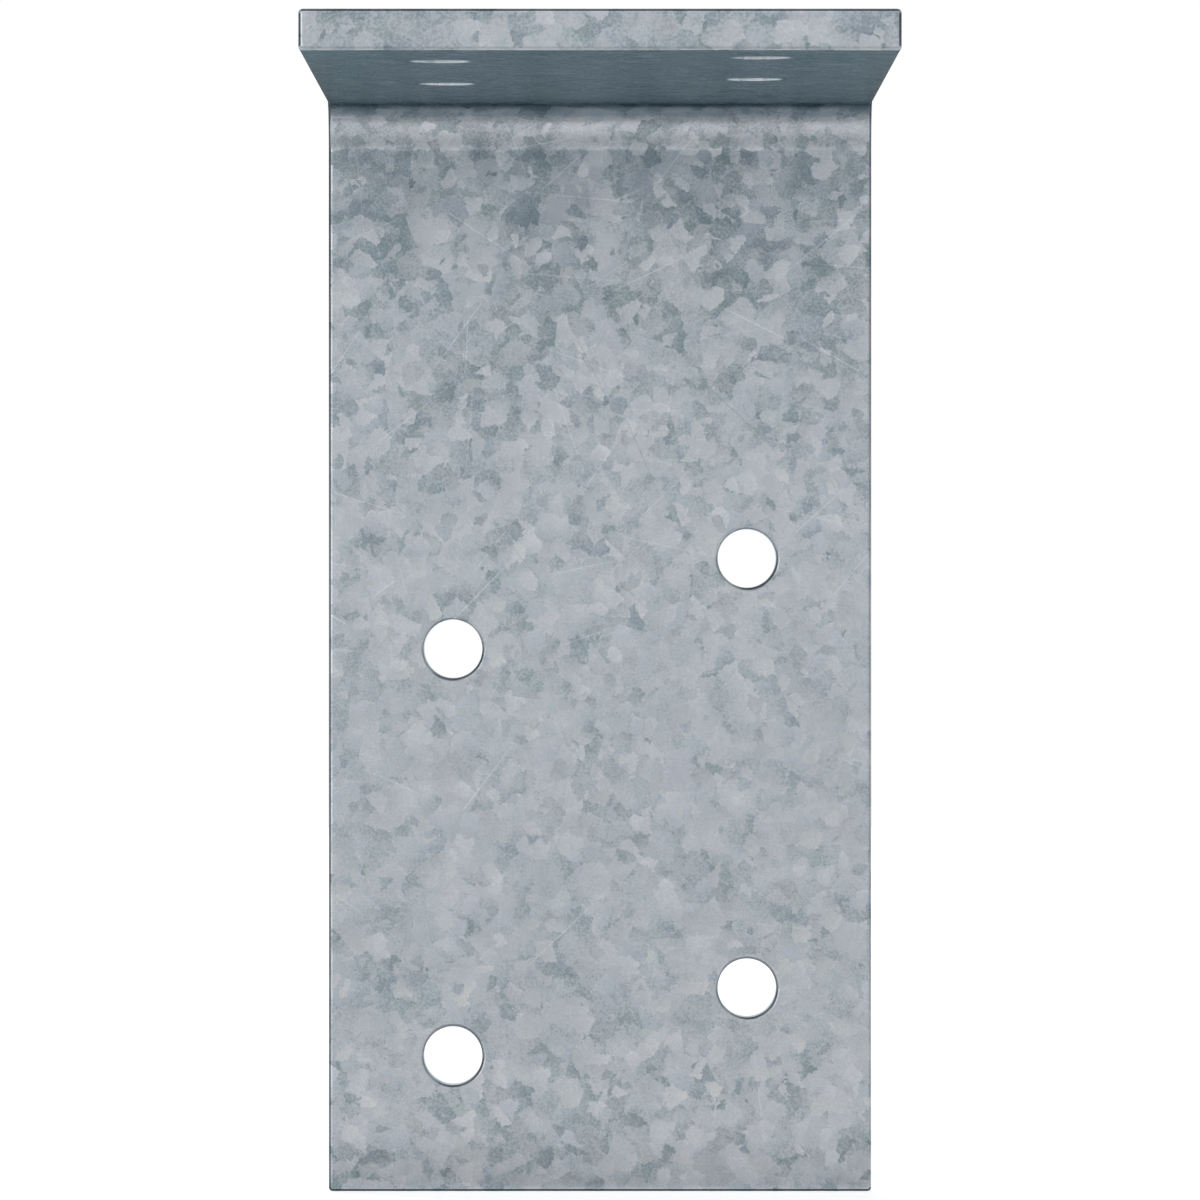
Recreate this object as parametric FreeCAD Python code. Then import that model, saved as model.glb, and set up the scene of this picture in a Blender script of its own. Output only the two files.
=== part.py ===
import FreeCAD
import Part
import math
import os

from FreeCAD import Vector

# A framing angle: one strip of zinc-coated sheet steel, punched with nail holes and folded square.
# The origin is the heel, where the planes of the two seating faces meet, at mid-width.
# +Y points out of the back seating face and +Z out of the top one. Sizes are in millimetres.

# Sheet and fold
strip_width = 38.1
sheet_thickness = 2.657
inside_bend_radius = 3.175
leg_inside_length = 76.2
flange_inside_length = 76.2

# Nail holes: on each leg one column starts nearer the free end, and the other is set back from it
hole_diameter = 4.1
hole_column_spacing = 20.64
near_column_end_distance = 9.525
near_column_pitch = 28.575
far_column_end_distance = 14.288
far_column_pitch = 30.162

# Rounded edges: all round the blank, and where the punch entered each hole
sheared_edge_radius = 0.30
punched_rim_radius = 0.20

# Worked out from the sizes above
outside_bend_radius = inside_bend_radius + sheet_thickness
leg_outside_length = leg_inside_length + sheet_thickness
flange_outside_length = flange_inside_length + sheet_thickness
half_width = strip_width / 2
hole_radius = hole_diameter / 2
punch_overrun = sheet_thickness


def section_point(depth, drop):
    # A point of the L section: depth in front of the back face, drop below the top face.
    return Vector(-half_width, -depth, -drop)


def bend_arc(radius):
    # A quarter turn about the bend's centre line, from the leg round to the flange.
    centre = outside_bend_radius
    middle = centre - radius * math.cos(math.pi / 4)
    start = section_point(centre - radius, centre)
    end = section_point(centre, centre - radius)
    return Part.Arc(start, section_point(middle, middle), end).toShape()


def folded_strip():
    # The L section with concentric bend radii, drawn as one outline and run along the width.
    leg_end = leg_outside_length
    flange_end = flange_outside_length
    bend = outside_bend_radius
    inner = sheet_thickness
    outline = [
        Part.makeLine(section_point(0, leg_end), section_point(0, bend)),
        bend_arc(outside_bend_radius),
        Part.makeLine(section_point(bend, 0), section_point(flange_end, 0)),
        Part.makeLine(section_point(flange_end, 0), section_point(flange_end, inner)),
        Part.makeLine(section_point(flange_end, inner), section_point(bend, inner)),
        bend_arc(inside_bend_radius),
        Part.makeLine(section_point(inner, bend), section_point(inner, leg_end)),
        Part.makeLine(section_point(inner, leg_end), section_point(0, leg_end)),
    ]
    section = Part.Face(Part.Wire(Part.__sortEdges__(outline)))
    return section.extrude(Vector(strip_width, 0, 0))


def sheared_edges(strip):
    # The outlines of both sides and the edges of the free ends, but not the smooth seams of the bend.
    def is_sheared(edge):
        middle = edge.CenterOfMass
        on_side = abs(middle.x) > half_width / 2
        at_leg_end = math.isclose(middle.z, -leg_outside_length)
        at_flange_end = math.isclose(middle.y, -flange_outside_length)
        return on_side or at_leg_end or at_flange_end

    return [edge for edge in strip.Edges if is_sheared(edge)]


def hole_places(outside_length, near_side):
    # Each hole's place across the strip and its distance from the heel; near_side is -1 or 1.
    columns = (
        (near_side, near_column_end_distance, near_column_pitch),
        (-near_side, far_column_end_distance, far_column_pitch),
    )
    for side, end_distance, pitch in columns:
        for row in range(2):
            across = side * hole_column_spacing / 2
            yield across, outside_length - end_distance - row * pitch


def punches():
    # The leg's near column is on the -X side and the flange's on the +X side,
    # so each leg carries the other's pattern turned half round.
    length = sheet_thickness + 2 * punch_overrun
    for across, from_heel in hole_places(leg_outside_length, -1):
        start = Vector(across, punch_overrun, -from_heel)
        yield Part.makeCylinder(hole_radius, length, start, Vector(0, -1, 0))
    for across, from_heel in hole_places(flange_outside_length, 1):
        start = Vector(across, -from_heel, punch_overrun)
        yield Part.makeCylinder(hole_radius, length, start, Vector(0, 0, -1))


def punched_rims(plate):
    # The circles where the holes open on the inner faces, rolled over as the punch went in.
    def is_punched(edge):
        middle = edge.CenterOfMass
        on_leg = math.isclose(middle.y, -sheet_thickness)
        on_flange = math.isclose(middle.z, -sheet_thickness)
        return edge.isClosed() and edge.Length > hole_radius and (on_leg or on_flange)

    return [edge for edge in plate.Edges if is_punched(edge)]


def framing_angle():
    strip = folded_strip()
    blank = strip.makeFillet(sheared_edge_radius, sheared_edges(strip))
    plate = blank.cut(Part.makeCompound(list(punches())))
    return plate.makeFillet(punched_rim_radius, punched_rims(plate))


os.makedirs("parts", exist_ok=True)
framing_angle().exportStep("parts/framing_angle.step")
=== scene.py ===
import bpy
import math
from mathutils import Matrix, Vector


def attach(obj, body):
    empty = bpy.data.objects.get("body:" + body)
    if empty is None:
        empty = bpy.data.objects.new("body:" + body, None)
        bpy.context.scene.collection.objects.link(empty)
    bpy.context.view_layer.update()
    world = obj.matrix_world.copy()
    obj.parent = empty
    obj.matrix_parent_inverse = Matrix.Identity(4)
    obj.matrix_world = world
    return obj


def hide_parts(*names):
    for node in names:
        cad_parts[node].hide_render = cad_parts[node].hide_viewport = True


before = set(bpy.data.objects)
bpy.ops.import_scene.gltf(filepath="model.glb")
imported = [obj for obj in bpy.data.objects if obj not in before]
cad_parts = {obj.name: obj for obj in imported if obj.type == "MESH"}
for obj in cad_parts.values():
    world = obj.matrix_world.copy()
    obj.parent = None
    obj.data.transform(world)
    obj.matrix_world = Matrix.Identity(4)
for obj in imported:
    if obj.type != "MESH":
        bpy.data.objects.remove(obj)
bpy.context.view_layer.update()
mm = 0.001
print("frame loaded:", sorted(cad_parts))


# the folded angle, in the shape of the CAD part

angleSizes = {
    "width": 38.1 * mm,
    "thickness": 2.657 * mm,
    "legLength": 78.857 * mm,     # outside, from the heel to the free end
    "flangeLength": 78.857 * mm,
    "insideRadius": 3.175 * mm,
    "bendSteps": 24,
    "edgeRound": 0.30 * mm,
    "edgeSteps": 7,
    "sharpAngle": math.radians(60),     # edges that turn more than this are rounded
    "smoothAngle": math.radians(40),
}

holeSizes = {
    "radius": 2.05 * mm,
    "columnSpacing": 20.64 * mm,
    "nearColumn": (9.525 * mm, 38.1 * mm),     # both holes, from the free end
    "farColumn": (14.288 * mm, 44.45 * mm),
    "sides": 96,
    "rimSlack": 0.01 * mm,      # how far off its circle a rim's point may be
    "legRim": 0.28 * mm,        # inner faces, where the punch went in
    "flangeRim": 0.18 * mm,
    "rimSteps": 4,
    "exitRound": 0.05 * mm,     # seating faces
    "exitSteps": 2,
}

edgePaintLook = {     # painted shade along the rounded edges and hole rims, heavier where they face up and left, and painted highlight on the flange's hole rims
    "line": (0.5, 0.87),       # how squarely to the sheet those parts of a rounding face
    "cutFace": 0.1,            # sheared faces are turned to it less than this
    "share": (0.15, 1.0),      # less where the faces look down and right, most where they look up and left
    "endReach": 1.0 * mm,      # the free ends have it on both sides
    "rim": (0.1, 0.65),        # how far down the part of the flange's hole rims with painted shade and highlight faces
    "rimShadeAndHighlight": (0.6, -0.40),   # painted shade on those rims on the free end's side, painted highlight on the fold's side
}


def deselectAll():
    bpy.ops.object.select_all(action="DESELECT")


def selectInMesh(piece, kind, test):
    # leaves the piece in edit mode with just those faces or edges selected
    bpy.ops.object.mode_set(mode="EDIT")
    bpy.ops.mesh.select_mode(type=kind)
    bpy.ops.mesh.select_all(action="DESELECT")
    bpy.ops.object.mode_set(mode="OBJECT")
    mesh = piece.data
    items = mesh.polygons if kind == "FACE" else mesh.edges
    for item in items:
        item.select = test(mesh, item)
    bpy.ops.object.mode_set(mode="EDIT")


def foldStrip():
    width, thick = angleSizes["width"], angleSizes["thickness"]
    bend = angleSizes["insideRadius"] + thick     # outside bend radius
    legFlat = angleSizes["legLength"] - bend
    deselectAll()
    bpy.ops.mesh.primitive_cube_add(
        size=1,
        location=(0, -thick / 2, -bend - legFlat / 2),
        scale=(width, thick, legFlat),
    )
    piece = bpy.context.object
    piece.name = piece.data.name = "foldedAngle"
    bpy.ops.object.transform_apply(location=True, rotation=True, scale=True)
    # the leg's upper end goes round the fold, then runs out into the flange
    selectInMesh(piece, "FACE", lambda mesh, face: face.normal.z > 0.9)
    bpy.ops.mesh.spin(
        steps=angleSizes["bendSteps"],
        angle=-math.pi / 2,
        center=(0, -bend, -bend),
        axis=(1, 0, 0),
    )
    bpy.ops.mesh.extrude_region_move(
        TRANSFORM_OT_translate={"value": (0, bend - angleSizes["flangeLength"], 0)}
    )
    bpy.ops.mesh.select_all(action="SELECT")
    bpy.ops.mesh.remove_doubles(threshold=1e-6)
    bpy.ops.mesh.normals_make_consistent(inside=False)
    bpy.ops.object.mode_set(mode="OBJECT")
    return piece


def sharpEdges(piece):
    mesh = piece.data
    faces = {}
    for face in mesh.polygons:
        for key in face.edge_keys:
            faces.setdefault(key, []).append(face.normal)
    return {
        key for key, pair in faces.items()
        if len(pair) == 2 and pair[0].angle(pair[1], 0) > angleSizes["sharpAngle"]
    }


def roundEdges(piece, test, size, steps):
    selectInMesh(piece, "EDGE", test)
    bpy.ops.mesh.bevel(offset=size, offset_type="OFFSET", segments=steps, profile=0.5, affect="EDGES")
    bpy.ops.object.mode_set(mode="OBJECT")


def holePlaces(length, nearSide):
    for side, distances in ((nearSide, holeSizes["nearColumn"]), (-nearSide, holeSizes["farColumn"])):
        for distance in distances:
            yield side * holeSizes["columnSpacing"] / 2, distance - length


def punchHoles(piece):
    thick = angleSizes["thickness"]
    deselectAll()
    bpy.ops.mesh.primitive_cylinder_add(
        vertices=holeSizes["sides"], radius=holeSizes["radius"], depth=3 * thick
    )
    punch = bpy.context.object
    spots = [((x, -thick / 2, z), (math.pi / 2, 0, 0)) for x, z in holePlaces(angleSizes["legLength"], -1)]
    spots += [((x, y, -thick / 2), (0, 0, 0)) for x, y in holePlaces(angleSizes["flangeLength"], 1)]
    punches = [punch]
    for spot in spots[1:]:
        copy = punch.copy()
        copy.data = punch.data.copy()
        bpy.context.collection.objects.link(copy)
        punches.append(copy)
    for tool, (place, turn) in zip(punches, spots):
        tool.location = place
        tool.rotation_euler = turn
        tool.select_set(True)
    bpy.context.view_layer.objects.active = punch
    bpy.ops.object.join()
    deselectAll()
    piece.select_set(True)
    bpy.context.view_layer.objects.active = piece
    cut = piece.modifiers.new("punchedHoles", "BOOLEAN")
    cut.operation = "DIFFERENCE"
    cut.object = punch
    bpy.ops.object.modifier_apply(modifier=cut.name)
    bpy.data.objects.remove(punch)


def rimTest(piece, depth, legs):
    # edges of those legs' hole rims, at this depth behind the seating faces
    sharp = sharpEdges(piece)
    radius, slack = holeSizes["radius"], holeSizes["rimSlack"]
    centres = []
    if "leg" in legs:
        centres += [Vector((x, -depth, z)) for x, z in holePlaces(angleSizes["legLength"], -1)]
    if "flange" in legs:
        centres += [Vector((x, y, -depth)) for x, y in holePlaces(angleSizes["flangeLength"], 1)]

    def test(mesh, edge):
        if edge.key not in sharp:
            return False
        ends = [mesh.vertices[i].co for i in edge.vertices]
        return any(all(abs((end - c).length - radius) < slack for end in ends) for c in centres)

    return test


def edgePaintShare(face):
    # 1 where a rounded edge has its full painted shade, less where it looks down and right, below 0 where a
    # flange hole rim has painted highlight
    bend = angleSizes["insideRadius"] + angleSizes["thickness"]
    low, high = edgePaintLook["line"]
    x, y, z = (abs(part) for part in face.normal)
    onLeg, onFlange = face.center.z < -bend, face.center.y < -bend
    fromEnd = min(face.center.z + angleSizes["legLength"], face.center.y + angleSizes["flangeLength"])
    fromSide = angleSizes["width"] / 2 - abs(face.center.x)
    squarely = y if onLeg else z if onFlange else math.hypot(y, z)
    onLine = low < squarely < high
    underside = onFlange and face.normal.z < -low
    rimStart, rimStop = edgePaintLook["rim"]
    # the flange's hole rims get painted shade on one side and painted highlight on the other
    if onFlange and face.normal.z < -rimStart and min(fromEnd, fromSide) > edgePaintLook["endReach"]:
        dull, bright = edgePaintLook["rimShadeAndHighlight"]
        shine = dull + (bright - dull) * max(-face.normal.y, 0)
        return shine if face.normal.z > -rimStop else 0.0
    if fromEnd < edgePaintLook["endReach"]:
        onCorner = squarely < edgePaintLook["cutFace"] and low < x < high
        return 1.0 if (onLine or onCorner) and not underside else 0.0
    if not onLine:
        return 0.0
    if underside:
        return 1.0
    least, most = edgePaintLook["share"]
    share = least + (most - least) * (face.normal.z - face.normal.x) / high
    return min(max(share, least), most)


def paintEdgeShadeAndHighlight(piece):
    lines = piece.data.attributes.new("edgeShadeAndHighlight", "FLOAT", "FACE")
    for face in piece.data.polygons:
        lines.data[face.index].value = edgePaintShare(face)


def modelAngle():
    piece = foldStrip()
    sharp = sharpEdges(piece)
    roundEdges(piece, lambda mesh, edge: edge.key in sharp, angleSizes["edgeRound"], angleSizes["edgeSteps"])
    punchHoles(piece)
    legs = ("leg", "flange")
    for leg in legs:
        test = rimTest(piece, angleSizes["thickness"], (leg,))
        roundEdges(piece, test, holeSizes[leg + "Rim"], holeSizes["rimSteps"])
    roundEdges(piece, rimTest(piece, 0, legs), holeSizes["exitRound"], holeSizes["exitSteps"])
    bpy.ops.object.shade_smooth_by_angle(angle=angleSizes["smoothAngle"])
    flats = piece.modifiers.new("flatFaces", "WEIGHTED_NORMAL")
    flats.keep_sharp = True
    flats.weight = 100
    bpy.ops.object.modifier_apply(modifier=flats.name)
    paintEdgeShadeAndHighlight(piece)
    return piece


foldedAngle = modelAngle()
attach(foldedAngle, "root")
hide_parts("framing_angle")
print("angle modelled:", len(foldedAngle.data.polygons), "faces")


# small helpers for node trees

def addNode(tree, kind, place, inputs=None, **settings):
    # inputs holds plain values, or sockets to link from
    node = tree.nodes.new(kind)
    node.location = place
    for name, value in settings.items():
        setattr(node, name, value)
    for name, value in (inputs or {}).items():
        setInput(tree, node.inputs[name], value)
    return node


def setInput(tree, socket, value):
    if isinstance(value, bpy.types.NodeSocket):
        tree.links.new(value, socket)
    else:
        socket.default_value = value


def addMath(tree, kind, place, *values):
    return addNode(tree, "ShaderNodeMath", place, dict(enumerate(values)), operation=kind).outputs[0]


def addVectorMath(tree, kind, place, first, second=None):
    node = addNode(tree, "ShaderNodeVectorMath", place, {0: first}, operation=kind)
    if second is not None:
        setInput(tree, node.inputs["Scale" if kind == "SCALE" else 1], second)
    return node.outputs["Value" if kind == "DOT_PRODUCT" else "Vector"]


def addNoise(tree, place, point, scale, detail):
    inputs = {"Vector": point, "Scale": scale, "Detail": detail}
    return addNode(tree, "ShaderNodeTexNoise", place, inputs).outputs["Fac"]


def addMix(tree, place, kind, share, first, second):
    node = addNode(tree, "ShaderNodeMix", place, data_type=kind)
    setInput(tree, node.inputs["Factor"], share)
    for name, value in (("A", first), ("B", second)):
        setInput(tree, next(s for s in node.inputs if s.name == name and s.enabled), value)
    return next(socket for socket in node.outputs if socket.enabled)


def mapRange(tree, place, value, fromLow, fromHigh, toLow, toHigh):
    return addNode(tree, "ShaderNodeMapRange", place, {
        "Value": value, "From Min": fromLow, "From Max": fromHigh, "To Min": toLow, "To Max": toHigh,
    }).outputs["Result"]


def newGroup(name, inputs, outputs, ends=(-1400, 1200)):
    # inputs are name: start value, outputs are name: socket type
    group = bpy.data.node_groups.new(name, "ShaderNodeTree")
    for label, start in inputs.items():
        kind = "NodeSocketVector" if isinstance(start, tuple) else "NodeSocketFloat"
        group.interface.new_socket(label, in_out="INPUT", socket_type=kind).default_value = start
    for label, kind in outputs.items():
        group.interface.new_socket(label, in_out="OUTPUT", socket_type=kind)
    source = addNode(group, "NodeGroupInput", (ends[0], 0)).outputs
    result = addNode(group, "NodeGroupOutput", (ends[1], 0)).inputs
    return group, source, result


def placeGroup(tree, group, place, inputs):
    return addNode(tree, "ShaderNodeGroup", place, inputs, node_tree=group).outputs


# zinc coat: crystal flakes laid over a dull speckled ground, with hair scratches

zincFlakes = {     # lowest first; shares are at the fold and away from it, and the ground is everywhere
    "ground": {
        "perMetre": 700.0, "wander": 1.1 * mm, "fade": 0.8,
        "tone": 0.22, "toneSpread": 0.32, "cover": 1.0, "dull": True,
    },
    "large": {
        "perMetre": 490.0, "wander": 1.2 * mm, "fade": 1.5,
        "share": (0.40, 0.66), "tone": 0.36, "toneSpread": 0.40, "cover": 0.78, "dull": False,
    },
    "middling": {
        "perMetre": 640.0, "wander": 0.95 * mm, "fade": 1.5,
        "share": (0.36, 0.52), "tone": 0.38, "toneSpread": 0.42, "cover": 0.70, "dull": False,
    },
    "dullChips": {
        "perMetre": 900.0, "wander": 0.8 * mm, "fade": 1.0,
        "share": (0.22, 0.16), "tone": 0.20, "toneSpread": 0.30, "cover": 0.75, "dull": True,
    },
    "small": {
        "perMetre": 850.0, "wander": 0.8 * mm, "fade": 1.2,
        "share": (0.20, 0.24), "tone": 0.45, "toneSpread": 0.40, "cover": 0.75, "dull": False,
    },
}

zincLook = {
    "shareReach": (0.08, 0.42),     # where shares go from one to the other, as parts of a leg
    "endReach": 1.25,               # the free ends get some of the fold's dull flakes
    "layerShift": (0.31, 0.17, 0.23),     # each layer's pattern is moved on by this
    "waves": {"Detail": 3.0, "Roughness": 0.58},     # of the flakes' outlines
    "clusters": 130.0,              # waves per metre, as for speckles, grit and clouds
    "clusterShare": 0.14,
    "clusterRange": (0.35, 0.65),   # of the noise
    "clusterReach": (0.1, 0.5),
    "clusterKept": (1.0, 0.35),     # at the fold, away from it
    "speckles": 6500.0,
    "speckleTone": (0.12, 0.18),    # on bright flakes, on dull ones
    "grit": 4500.0,
    "gritReach": 0.32 * mm,         # how far it frays the flakes' outlines
    "clouds": 400.0,
    "cloudTone": 0.12,
    "noiseRange": (0.3, 0.7),       # for speckles and clouds
    "pivot": 0.5,                   # the tone that contrast leaves alone
    "contrast": (0.79, 0.68),       # at the fold, away from it, and so on
    "contrastReach": (0.20, 0.62),
    "middleTone": (0.47, 0.57),
    "toneReach": (0.10, 0.50),
    "hueSpread": 0.038,
    "lean": 0.06,
    "metallic": 0.88,
    "roughness": (0.24, 0.34),      # bright, dull
    "edgeShade": 0.30,              # of the colour, where the painted edge shade is full
    "underFacing": 0.3,             # how far down the underside's faces look
    "underGap": 0.1 * mm,           # from the leg to where the underside starts
}

zincTints = {     # at a grazing angle
    "spangledZinc": (0.75, 0.86, 0.92, 1),
    # painted shade: a darker grazing tint for the flange's inner face
    "shadedUndersideZinc": (0.13, 0.285, 0.35, 1),
}

zincTones = (     # dull to bright
    (0.00, (0.138, 0.180, 0.206)),
    (0.30, (0.247, 0.295, 0.323)),
    (0.50, (0.379, 0.422, 0.452)),
    (0.70, (0.446, 0.483, 0.509)),
    (1.00, (0.545, 0.583, 0.589)),
)

scratchLook = {
    "tilt": 0.6,
    "length": 10.0 * mm,
    "gap": 5.0 * mm,
    "width": 0.035 * mm,
    "share": (0.50, 0.12),
    "shareReach": (0.40, 0.70),
    "taper": (0.1, 0.5),     # from a line's middle, as parts of its length
    "depth": (0.3, 1.0),
    "pale": (0.72, 0.75, 0.77, 1),
    "dark": (0.17, 0.21, 0.24, 1),
    "ways": (     # turn, strength and colour
        (0.31, 0.42, "pale"),
        (-0.72, 0.42, "pale"),
        (0.95, 0.36, "dark"),
        (1.45, 0.30, "pale"),
        (-0.20, 0.30, "pale"),
    ),
}


def flakeGroup():
    # some cells of a wavy mosaic, each shaded off to one side
    group, source, result = newGroup(
        "zincFlakes",
        {"Vector": (0.0, 0.0, 0.0), "Flakes": 600.0, "Wander": 0.001, "Share": 1.0, "Fade": 0.5},
        {"Tone": "NodeSocketFloat", "Mask": "NodeSocketFloat", "Lean": "NodeSocketVector"},
    )
    waves = addNode(
        group, "ShaderNodeTexNoise", (-1200, -300),
        {"Vector": source["Vector"], "Scale": source["Flakes"], **zincLook["waves"]},
    )
    wavy = addVectorMath(group, "SUBTRACT", (-1000, -300), waves.outputs["Color"], (0.5, 0.5, 0.5))
    wavy = addVectorMath(group, "SCALE", (-800, -300), wavy, source["Wander"])
    moved = addVectorMath(group, "ADD", (-600, 0), source["Vector"], wavy)
    cells = addNode(group, "ShaderNodeTexVoronoi", (-400, 100), {"Vector": moved, "Scale": source["Flakes"]})
    chance = addNode(group, "ShaderNodeSeparateColor", (-200, 300), {"Color": cells.outputs["Color"]})
    lean = addVectorMath(group, "SUBTRACT", (-200, -100), cells.outputs["Color"], (0.5, 0.5, 0.5))
    offCentre = addVectorMath(group, "SUBTRACT", (-200, -300), moved, cells.outputs["Position"])
    offCentre = addVectorMath(group, "SCALE", (0, -300), offCentre, source["Flakes"])
    shade = addVectorMath(group, "DOT_PRODUCT", (200, -200), offCentre, lean)
    tone = addMath(group, "MULTIPLY_ADD", (600, 0), shade, source["Fade"], chance.outputs["Red"])
    mask = addMath(group, "LESS_THAN", (600, 200), chance.outputs["Green"], source["Share"])
    group.links.new(tone, result["Tone"])
    group.links.new(mask, result["Mask"])
    group.links.new(lean, result["Lean"])
    return group


def scratchGroup():
    # one straight hairline in some cells of a long narrow mosaic
    group, source, result = newGroup(
        "hairScratches",
        {"Vector": (0.0, 0.0, 0.0), "Turn": 0.0, "Share": 0.5},
        {"Mask": "NodeSocketFloat"},
    )
    turned = addNode(
        group, "ShaderNodeVectorRotate", (-1200, 0),
        {"Vector": source["Vector"], "Angle": source["Turn"]}, rotation_type="Z_AXIS",
    )
    squeeze = (1 / scratchLook["length"], 1 / scratchLook["gap"], 0)
    drawn = addVectorMath(group, "MULTIPLY", (-1000, 0), turned.outputs[0], squeeze)
    cells = addNode(
        group, "ShaderNodeTexVoronoi", (-800, 0), {"Vector": drawn, "Scale": 1.0}, voronoi_dimensions="2D"
    )
    chance = addNode(group, "ShaderNodeSeparateColor", (-600, 300), {"Color": cells.outputs["Color"]}).outputs
    away = addVectorMath(group, "SUBTRACT", (-600, -100), drawn, cells.outputs["Position"])
    away = addNode(group, "ShaderNodeSeparateXYZ", (-400, -100), {"Vector": away}).outputs
    tilt = mapRange(group, (-400, 100), chance["Blue"], 0.0, 1.0, -scratchLook["tilt"], scratchLook["tilt"])
    off = addMath(group, "MULTIPLY_ADD", (-200, 0), tilt, away["X"], away["Y"])
    off = addMath(group, "ABSOLUTE", (0, 0), off)
    width = scratchLook["width"] / scratchLook["gap"]
    line = mapRange(group, (200, 0), off, 0.5 * width, 1.5 * width, 1.0, 0.0)     # soft sides
    end = addMath(group, "ABSOLUTE", (-200, -300), away["X"])
    end = mapRange(group, (200, -300), end, *scratchLook["taper"], 1.0, 0.0)
    kept = addMath(group, "LESS_THAN", (-200, 300), chance["Red"], source["Share"])
    line = addMath(group, "MULTIPLY", (400, 0), line, end)
    line = addMath(group, "MULTIPLY", (600, 0), line, kept)
    depth = mapRange(group, (200, 300), chance["Green"], 0.0, 1.0, *scratchLook["depth"])
    line = addMath(group, "MULTIPLY", (800, 0), line, depth)
    group.links.new(line, result["Mask"])
    return group


def foldDistance(tree, point):
    # 0 at the heel to 1 at the free ends, along either leg
    parts = addNode(tree, "ShaderNodeSeparateXYZ", (-3200, -700), {"Vector": point})
    farther = addMath(tree, "MINIMUM", (-3000, -700), parts.outputs["Y"], parts.outputs["Z"])
    return mapRange(tree, (-2800, -700), farther, 0.0, -angleSizes["legLength"], 0.0, 1.0)


def layFlakes(tree, point, fold):
    # each layer covers part of those below it; dull flakes gather in clusters
    flakes = flakeGroup()
    cluster = addNoise(tree, (-2800, -1000), point, zincLook["clusters"], 1.0)
    most = zincLook["clusterShare"]
    cluster = mapRange(tree, (-2600, -1000), cluster, *zincLook["clusterRange"], -most, most)
    spread = mapRange(tree, (-2600, -1250), fold, *zincLook["clusterReach"], *zincLook["clusterKept"])
    cluster = addMath(tree, "MULTIPLY", (-2400, -1000), cluster, spread)
    grit = addNode(
        tree, "ShaderNodeTexNoise", (-3200, 700), {"Vector": point, "Scale": zincLook["grit"], "Detail": 1.0}
    )
    frayed = addVectorMath(tree, "SUBTRACT", (-3000, 700), grit.outputs["Color"], (0.5, 0.5, 0.5))
    frayed = addVectorMath(tree, "SCALE", (-2800, 700), frayed, zincLook["gritReach"])
    frayed = addVectorMath(tree, "ADD", (-2600, 700), point, frayed)
    tone, dull, lean = 0.0, 1.0, (0.0, 0.0, 0.0)
    for row, layer in enumerate(zincFlakes.values()):
        x = 500 * row - 2200
        share = 1.0
        if "share" in layer:
            share = mapRange(tree, (x, -300), fold, *zincLook["shareReach"], *layer["share"])
            share = addMath(tree, "ADD" if layer["dull"] else "SUBTRACT", (x, -550), share, cluster)
        shift = tuple(part * row for part in zincLook["layerShift"])
        spot = addVectorMath(tree, "ADD", (x, 700), frayed, shift)
        flake = placeGroup(tree, flakes, (x, 500), {
            "Vector": spot, "Flakes": layer["perMetre"], "Wander": layer["wander"],
            "Share": share, "Fade": layer["fade"],
        })
        shown = addMath(tree, "MULTIPLY", (x + 200, 100), flake["Mask"], layer["cover"])
        own = addMath(tree, "MULTIPLY_ADD", (x + 200, 300), flake["Tone"], layer["toneSpread"], layer["tone"])
        tone = addMix(tree, (x + 350, 300), "FLOAT", shown, tone, own)
        dull = addMix(tree, (x + 350, 100), "FLOAT", shown, dull, 1.0 if layer["dull"] else 0.0)
        lean = addMix(tree, (x + 350, -100), "VECTOR", flake["Mask"], lean, flake["Lean"])
    return tone, dull, lean


def drawScratches(tree, point, fold, colour):
    # on the strip unfolded flat, fewer towards the free ends
    parts = addNode(tree, "ShaderNodeSeparateXYZ", (-900, -1500), {"Vector": point}).outputs
    along = addMath(tree, "SUBTRACT", (-700, -1500), parts["Z"], parts["Y"])
    flat = addNode(tree, "ShaderNodeCombineXYZ", (-500, -1500), {"X": parts["X"], "Y": along}).outputs[0]
    share = mapRange(tree, (-500, -1750), fold, *scratchLook["shareReach"], *scratchLook["share"])
    group = scratchGroup()
    for row, (turn, strength, shade) in enumerate(scratchLook["ways"]):
        y = -1500 - 250 * row
        line = placeGroup(tree, group, (-200, y), {"Vector": flat, "Turn": turn, "Share": share})["Mask"]
        line = addMath(tree, "MULTIPLY", (100, y), line, strength)
        colour = addMix(tree, (1850 + 180 * row, 300), "RGBA", line, colour, scratchLook[shade])
    return colour


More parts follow.
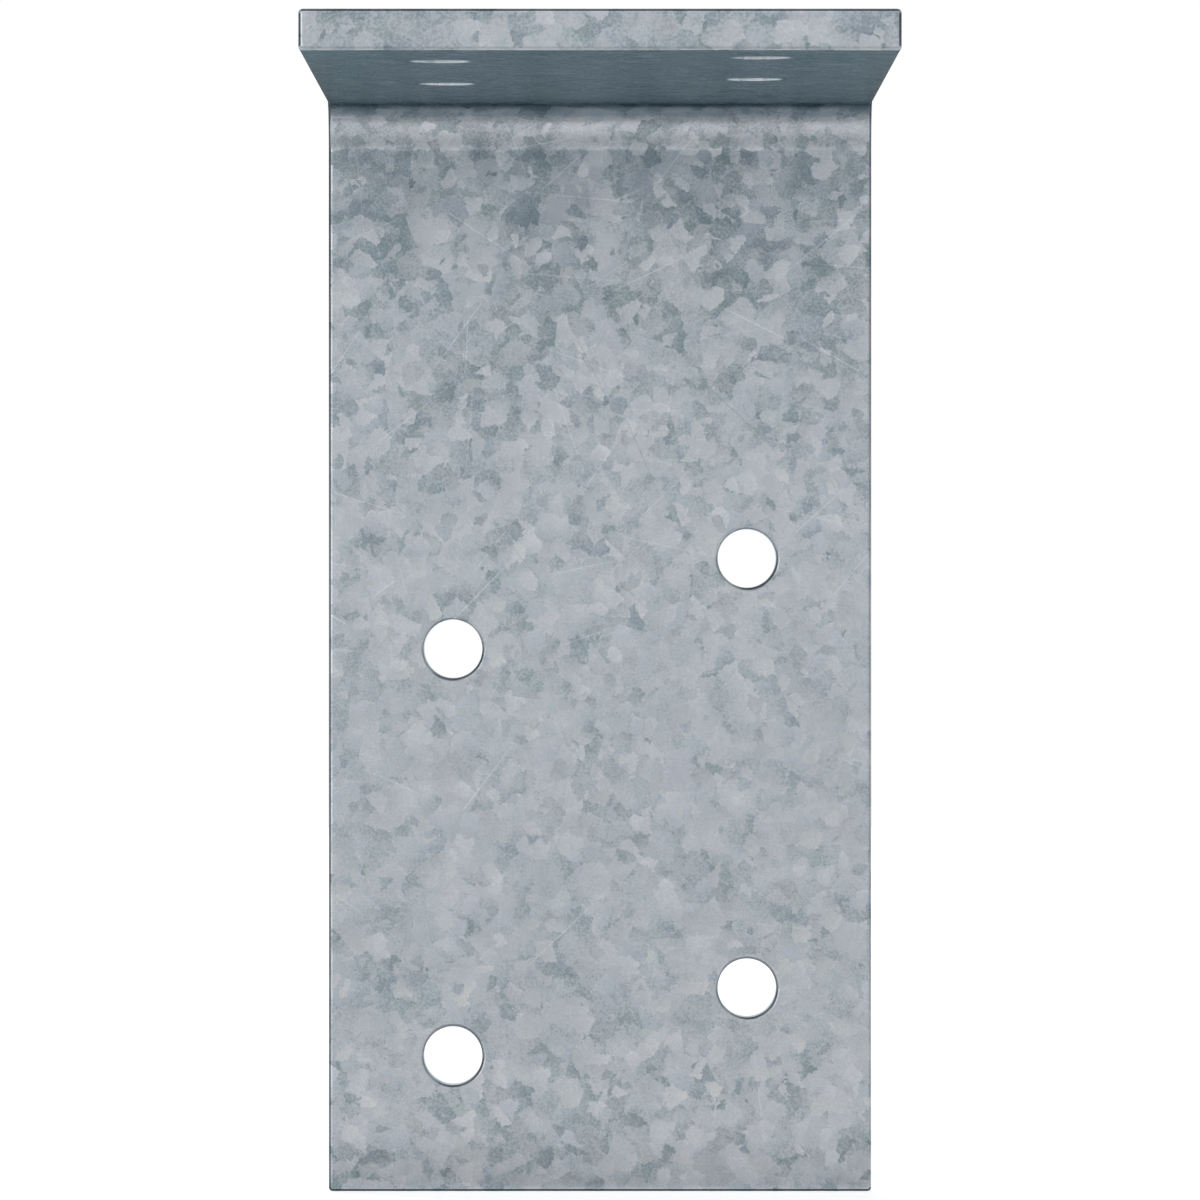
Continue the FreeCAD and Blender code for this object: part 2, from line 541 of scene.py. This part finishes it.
def coatGroup():
    # the whole coat, for both materials
    group, source, result = newGroup(
        "zincCoat",
        {"Point": (0.0, 0.0, 0.0), "Facing": (0.0, 0.0, 1.0), "EdgeShadeAndHighlight": 0.0},
        {"Colour": "NodeSocketColor", "Roughness": "NodeSocketFloat", "Normal": "NodeSocketVector"},
        (-3500, 2600),
    )
    point = source["Point"]
    fold = foldDistance(group, point)
    fromEnd = addMath(group, "SUBTRACT", (-2800, -850), zincLook["endReach"], fold)
    inset = addMath(group, "MINIMUM", (-2600, -750), fold, fromEnd)
    tone, dull, lean = layFlakes(group, point, inset)

    # speckle, strongest on the dull flakes, and soft clouding
    speckle = addNoise(group, (200, -600), point, zincLook["speckles"], 2.0)
    speckle = mapRange(group, (400, -600), speckle, *zincLook["noiseRange"], -1.0, 1.0)
    amount = addMix(group, (400, -350), "FLOAT", dull, *zincLook["speckleTone"])
    tone = addMath(group, "MULTIPLY_ADD", (600, 200), speckle, amount, tone)
    cloud = addNoise(group, (400, -900), point, zincLook["clouds"], 4.0)
    most = zincLook["cloudTone"]
    cloud = mapRange(group, (600, -900), cloud, *zincLook["noiseRange"], -most, most)
    tone = addMath(group, "ADD", (800, 200), tone, cloud)
    contrast = mapRange(group, (800, -200), inset, *zincLook["contrastReach"], *zincLook["contrast"])
    middle = mapRange(group, (800, -450), inset, *zincLook["toneReach"], *zincLook["middleTone"])
    tone = addMath(group, "SUBTRACT", (1000, 200), tone, zincLook["pivot"])
    tone = addMath(group, "MULTIPLY_ADD", (1200, 200), tone, contrast, middle)

    ramp = addNode(group, "ShaderNodeValToRGB", (1400, 200), {"Fac": tone})
    stops = ramp.color_ramp.elements
    while len(stops) < len(zincTones):
        stops.new(0.5)
    for stop, (place, colour) in zip(stops, zincTones):
        stop.position = place
        stop.color = (*colour, 1)
    tint = addVectorMath(group, "SCALE", (1400, 450), lean, zincLook["hueSpread"])
    tint = addVectorMath(group, "ADD", (1600, 450), tint, (1, 1, 1))
    colour = addVectorMath(group, "MULTIPLY", (1800, 300), ramp.outputs["Color"], tint)
    colour = drawScratches(group, point, fold, colour)
    # painted shade along the edges darkens the colour; below 0, painted highlight brightens it
    line = addMath(group, "MULTIPLY_ADD", (2000, 600), source["EdgeShadeAndHighlight"], zincLook["edgeShade"] - 1.0, 1.0)
    colour = addVectorMath(group, "SCALE", (2400, 400), colour, line)
    group.links.new(colour, result["Colour"])

    gloss = addMix(group, (1800, -200), "FLOAT", dull, *zincLook["roughness"])
    group.links.new(gloss, result["Roughness"])

    # each flake leans its own way
    lean = addVectorMath(group, "SCALE", (1400, -750), lean, zincLook["lean"])
    leant = addVectorMath(group, "ADD", (1600, -600), source["Facing"], lean)
    leant = addVectorMath(group, "NORMALIZE", (1800, -600), leant)
    group.links.new(leant, result["Normal"])
    return group


def zincMaterial(name, coat):
    material = bpy.data.materials.new(name)
    material.use_nodes = True
    tree = material.node_tree
    shader = tree.nodes["Principled BSDF"]
    finish = placeGroup(tree, coat, (-300, 300), {
        "Point": addNode(tree, "ShaderNodeTexCoord", (-600, 500)).outputs["Object"],
        "Facing": addNode(tree, "ShaderNodeNewGeometry", (-600, 200)).outputs["Normal"],
        "EdgeShadeAndHighlight": addNode(tree, "ShaderNodeAttribute", (-600, -100), attribute_name="edgeShadeAndHighlight").outputs["Fac"],
    })
    tree.links.new(finish["Colour"], shader.inputs["Base Color"])
    tree.links.new(finish["Roughness"], shader.inputs["Roughness"])
    tree.links.new(finish["Normal"], shader.inputs["Normal"])
    shader.inputs["Metallic"].default_value = zincLook["metallic"]
    shader.inputs["Specular Tint"].default_value = zincTints[name]
    return material


def coatAngle(piece):
    coat = coatGroup()
    piece.data.materials.clear()
    for name in zincTints:
        piece.data.materials.append(zincMaterial(name, coat))
    # the second, with a darker grazing tint as painted shade, is for the flange's inner face and the fold
    # under it, but not the rims with painted highlight
    front = -angleSizes["thickness"] - zincLook["underGap"]
    lines = piece.data.attributes["edgeShadeAndHighlight"].data
    for face in piece.data.polygons:
        under = face.normal.z < -zincLook["underFacing"] and face.center.y < front
        face.material_index = 1 if under and lines[face.index].value >= 0 else 0


coatAngle(foldedAngle)
print("zinc coat made")


# floor, light and camera

stageLook = {
    "floorLevel": -angleSizes["legLength"],     # the leg stands on it
    "floorSize": 2.4,
    "floorColour": (0.80, 0.80, 0.82, 1),
    "floorGlow": 0.72,
    "ambient": (0.93, 0.97, 1.0, 1),
    "ambientStrength": 0.22,
    "lampTarget": (0.0, -0.02, -0.04),
}


def seenDirectly(tree, place):
    # 1 for rays from the camera, a gloss or a see-through surface, else 0
    path = addNode(tree, "ShaderNodeLightPath", place).outputs
    x, y = place
    either = addMath(tree, "MAXIMUM", (x + 200, y), path["Is Camera Ray"], path["Is Glossy Ray"])
    return addMath(tree, "MAXIMUM", (x + 400, y), either, path["Is Transmission Ray"])


def bareMaterial(name):
    material = bpy.data.materials.new(name)
    material.use_nodes = True
    tree = material.node_tree
    material.cycles.emission_sampling = "NONE"     # seen in gloss, but no lamp
    tree.nodes.remove(tree.nodes["Principled BSDF"])
    return material, tree, tree.nodes["Material Output"].inputs["Surface"]


def makeFloor():
    deselectAll()
    bpy.ops.mesh.primitive_plane_add(size=stageLook["floorSize"], location=(0, 0, stageLook["floorLevel"]))
    floor = bpy.context.object
    floor.name = floor.data.name = "paleFloor"
    material, tree, surface = bareMaterial("paleFloor")
    matt = addNode(tree, "ShaderNodeBsdfDiffuse", (0, 200), {"Color": stageLook["floorColour"]})
    direct = seenDirectly(tree, (-800, -100))
    strength = addMath(tree, "MULTIPLY", (-200, -100), direct, stageLook["floorGlow"])
    glow = addNode(tree, "ShaderNodeEmission", (0, 0), {"Strength": strength})
    both = addNode(tree, "ShaderNodeAddShader", (200, 100), {0: matt.outputs[0], 1: glow.outputs[0]})
    tree.links.new(both.outputs[0], surface)
    floor.data.materials.append(material)


def makeWorld():
    world = bpy.data.worlds.new("studio")
    bpy.context.scene.world = world
    world.use_nodes = True
    tree = world.node_tree
    sky = tree.nodes["Background"]
    sky.inputs["Color"].default_value = stageLook["ambient"]
    sky.inputs["Strength"].default_value = stageLook["ambientStrength"]
    white = addNode(tree, "ShaderNodeBackground", (0, -150), {"Color": (1, 1, 1, 1)})
    choose = addNode(
        tree, "ShaderNodeMixShader", (200, 0),
        {0: seenDirectly(tree, (-800, 200)), 1: sky.outputs[0], 2: white.outputs[0]},
    )
    tree.links.new(choose.outputs[0], tree.nodes["World Output"].inputs["Surface"])


lamps = {
    "frontSoftbox": {"place": (-0.25, -1.2, -0.04), "size": (1.2, 0.6), "watts": 14.0},
    "backSoftbox": {"place": (-0.3, 0.9, 0.9), "size": (0.9, 0.6), "watts": 7.0},
}

greyCards = {     # what the gloss shows, apart from the white room
    "leftCard": {
        "place": (-0.7, 0.0, 0.1), "turn": (0, math.pi / 2, 0), "size": (0.9, 0.9), "grey": 0.5,
    },
    "rightCard": {
        "place": (0.8, -0.2, 0.1), "turn": (0, math.pi / 2, 0), "size": (0.9, 1.0), "grey": 0.55,
    },
    "topCard": {
        "place": (0.0, -0.1, 0.6), "turn": (0, 0, 0), "size": (0.7, 0.6), "grey": 0.7,
    },
    # just over the floor, for the flange's underside and the fold
    "frontCard": {
        "place": (0.0, -0.3925, -0.0785), "turn": (0, 0, 0), "size": (0.9, 0.615), "grey": 0.80,
        "soft": (0.16, 0.08),
    },
    # a grey sheet in front of the foot that stands in for its contact shade in the gloss: painted shade
    "footShadeCard": {
        "place": (0.0, -0.0135, -0.0788), "turn": (0, 0, 0), "size": (0.06, 0.017), "grey": 0.55,
    },
    "foldStrip": {
        "place": (0.0, -0.054, -0.0786), "turn": (0, 0, 0), "size": (0.06, 0.062), "grey": 1.25,
        "soft": (0.2, 0.2), "tint": (1.0, 0.968, 0.948, 1),
    },
    # a dark sheet under the foot that stands in for its contact shadow in the gloss: painted shadow
    "heelShadowCard": {
        "place": (0.0, -0.0013, -0.0788), "turn": (0, 0, 0), "size": (0.04, 0.0027), "grey": 0.3,
    },
    # bright ones, for the rounded edges and the back
    "leftStrip": {
        "place": (-0.55, -0.72, -0.03), "turn": (math.pi / 2, 0, -0.66), "size": (0.6, 0.6), "grey": 2.2,
    },
    "topStrip": {
        "place": (0.0, -0.69, 0.58), "turn": (0.87, 0, 0), "size": (0.8, 0.3), "grey": 1.4,
    },
    "backStrip": {
        "place": (0.0, 0.9, 0.9), "turn": (-math.pi / 4, 0, 0), "size": (0.9, 0.5), "grey": 1.3,
    },
    # beside the top of the leg, for the ends of the underside
    "leftFlag": {
        "place": (-0.0441, -0.0005, -0.0203), "turn": (math.pi / 2, 0, 0), "size": (0.05, 0.0396),
        "grey": 0.28, "soft": (0.75, 0),
    },
    "rightFlag": {
        "place": (0.0441, -0.0005, -0.0203), "turn": (math.pi / 2, 0, 0), "size": (0.05, 0.0396),
        "grey": 0.28, "soft": (0.75, 0),
    },
}


def hangLamps():
    target = Vector(stageLook["lampTarget"])
    for name, lamp in lamps.items():
        light = bpy.data.lights.new(name, "AREA")
        light.shape = "RECTANGLE"
        light.size, light.size_y = lamp["size"]
        light.energy = lamp["watts"]
        holder = bpy.data.objects.new(name, light)
        bpy.context.scene.collection.objects.link(holder)
        holder.location = lamp["place"]
        holder.rotation_euler = (target - holder.location).to_track_quat("-Z", "Y").to_euler()
        holder.visible_camera = False
        holder.visible_glossy = False     # the cards shape the gloss


def cardGrey(tree, card):
    # a soft card goes over to white towards one or both of its edges
    if "soft" not in card:
        return card["grey"]
    across = addNode(tree, "ShaderNodeTexCoord", (-1000, 0)).outputs["UV"]
    across = addNode(tree, "ShaderNodeSeparateXYZ", (-800, 0), {"Vector": across}).outputs["Y"]
    low, high = card["soft"]
    share = mapRange(tree, (-600, 100), across, 0.0, low, 0.0, 1.0)
    if high:
        other = mapRange(tree, (-600, -200), across, 1.0 - high, 1.0, 1.0, 0.0)
        share = addMath(tree, "MULTIPLY", (-400, 0), share, other)
    return addMath(tree, "MULTIPLY_ADD", (-200, 0), share, card["grey"] - 1.0, 1.0)


def hangCards():
    for name, card in greyCards.items():
        deselectAll()
        bpy.ops.mesh.primitive_plane_add(size=1, location=card["place"], rotation=card["turn"])
        holder = bpy.context.object
        holder.name = holder.data.name = name
        holder.scale = (*card["size"], 1)
        holder.visible_camera = False
        holder.visible_shadow = False
        holder.visible_diffuse = False
        material, tree, surface = bareMaterial(name)
        tint = card.get("tint", (1, 1, 1, 1))
        glow = addNode(tree, "ShaderNodeEmission", (0, 0), {"Color": tint, "Strength": cardGrey(tree, card)})
        tree.links.new(glow.outputs[0], surface)
        holder.data.materials.append(material)


cameraSetup = {"distance": 753.8 * mm, "height": -37.33 * mm, "lens": 320.95, "sensor": 36}


def placeCamera():
    camera = bpy.data.cameras.new("photoCamera")
    camera.lens = cameraSetup["lens"]
    camera.sensor_width = cameraSetup["sensor"]
    holder = bpy.data.objects.new("photoCamera", camera)
    bpy.context.scene.collection.objects.link(holder)
    holder.location = (0, -cameraSetup["distance"], cameraSetup["height"])
    holder.rotation_euler = (math.pi / 2, 0, 0)
    bpy.context.scene.camera = holder


makeFloor()
makeWorld()
hangLamps()
hangCards()
placeCamera()
bpy.context.scene.view_settings.view_transform = "Standard"
print("stage set")
